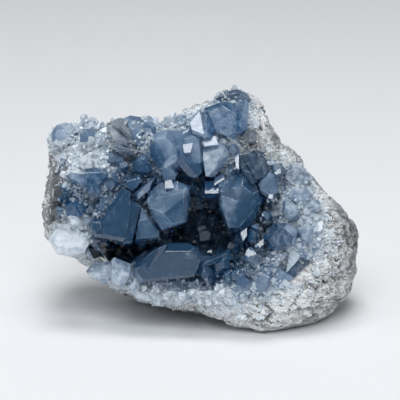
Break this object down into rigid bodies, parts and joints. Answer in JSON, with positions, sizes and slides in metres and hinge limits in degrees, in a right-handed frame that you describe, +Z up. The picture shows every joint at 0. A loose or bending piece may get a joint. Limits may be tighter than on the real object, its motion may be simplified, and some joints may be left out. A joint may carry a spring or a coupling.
{
  "type": "celestite geode",
  "caption": "Broken chunk of grey-white host rock whose hollow is lined with one crust of pale to deep blue, flat-faced celestite crystals; it rests on a small flat spot.",
  "frame": {"origin": "centre of the specimen's box, at the height of the small flat spot that it rests on", "axes": "+X along the specimen's length, to the right for somebody who looks at the crystals; -Y is the crystal side; +Z up"},
  "size_m": [0.1288, 0.095, 0.09],
  "materials": {
    "host_rock": "rough, granular, weathered",
    "celestite": "glassy cleavage faces, see-through with milky parts"
  },
  "bodies": {
    "root": {"host_rock": "host_rock", "celestite_crust": "celestite"}
  },
  "joints": []
}
